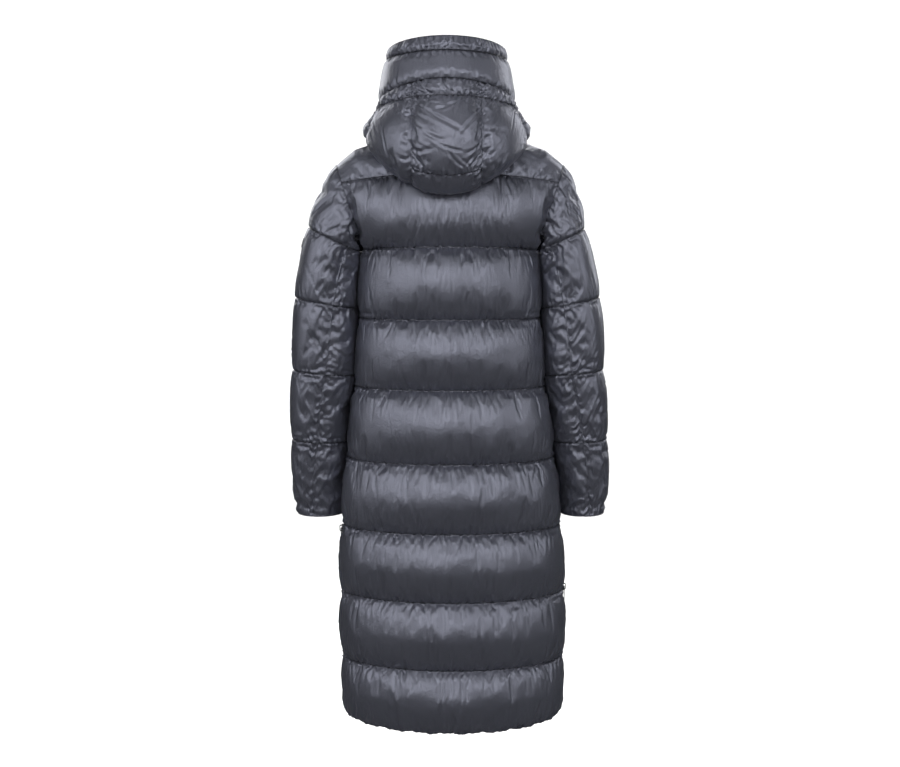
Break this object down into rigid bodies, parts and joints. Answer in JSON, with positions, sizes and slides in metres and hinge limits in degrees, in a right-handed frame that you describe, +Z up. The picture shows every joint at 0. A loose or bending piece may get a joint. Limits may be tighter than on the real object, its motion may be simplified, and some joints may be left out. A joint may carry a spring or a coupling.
{
  "type": "long hooded puffer coat",
  "caption": "Long quilted puffer coat with its hood down, a front zip and a zipped vent at each side, filled out as if worn.",
  "frame": {"origin": "middle of the neck, level with the top of the shoulders, where the wearer's neck and shoulders hold the coat", "axes": "+Z up, -Y the front, +X the wearer's left"},
  "size_m": [0.5993, 0.3298, 1.2539],
  "materials": {
    "shell": "shiny woven nylon",
    "zip": "woven tape with moulded teeth",
    "zip_metal": "dark satin",
    "patch": "plain matt"
  },
  "bodies": {
    "coat": {"back_panel": "shell", "front_panel_left": "shell", "front_panel_right": "shell", "shoulder_yoke_left": "shell", "shoulder_yoke_right": "shell", "sleeve_upper_left": "shell", "sleeve_upper_right": "shell", "sleeve_under_left": "shell", "sleeve_under_right": "shell", "hood_centre": "shell", "hood_side_left": "shell", "hood_side_right": "shell", "hood_front_left": "shell", "hood_front_right": "shell", "hood_brim": "shell", "hood_casing": "shell", "front_zip": "zip", "side_zip_left": "zip", "side_zip_right": "zip", "front_zip_slider": "zip_metal", "left_zip_slider": "zip_metal", "right_zip_slider": "zip_metal", "sleeve_patch": "patch"},
    "front_zip_pull": {"front_zip_pull": "zip_metal"},
    "left_zip_pull": {"left_zip_pull": "zip_metal"},
    "right_zip_pull": {"right_zip_pull": "zip_metal"}
  },
  "joints": [
    {"name": "front_zip_pull_hinge", "type": "hinge", "parent": "coat", "child": "front_zip_pull", "pos_m": [0.006, -0.10453, 0.07144], "axis": [-1, 0, 0], "range_deg": [0, 150]},
    {"name": "left_zip_pull_hinge", "type": "hinge", "parent": "coat", "child": "left_zip_pull", "pos_m": [0.20608, 0, -0.738], "axis": [0, -1, 0], "range_deg": [0, 120]},
    {"name": "right_zip_pull_hinge", "type": "hinge", "parent": "coat", "child": "right_zip_pull", "pos_m": [-0.21705, 0, -0.85], "axis": [0, 1, 0], "range_deg": [0, 150]}
  ]
}
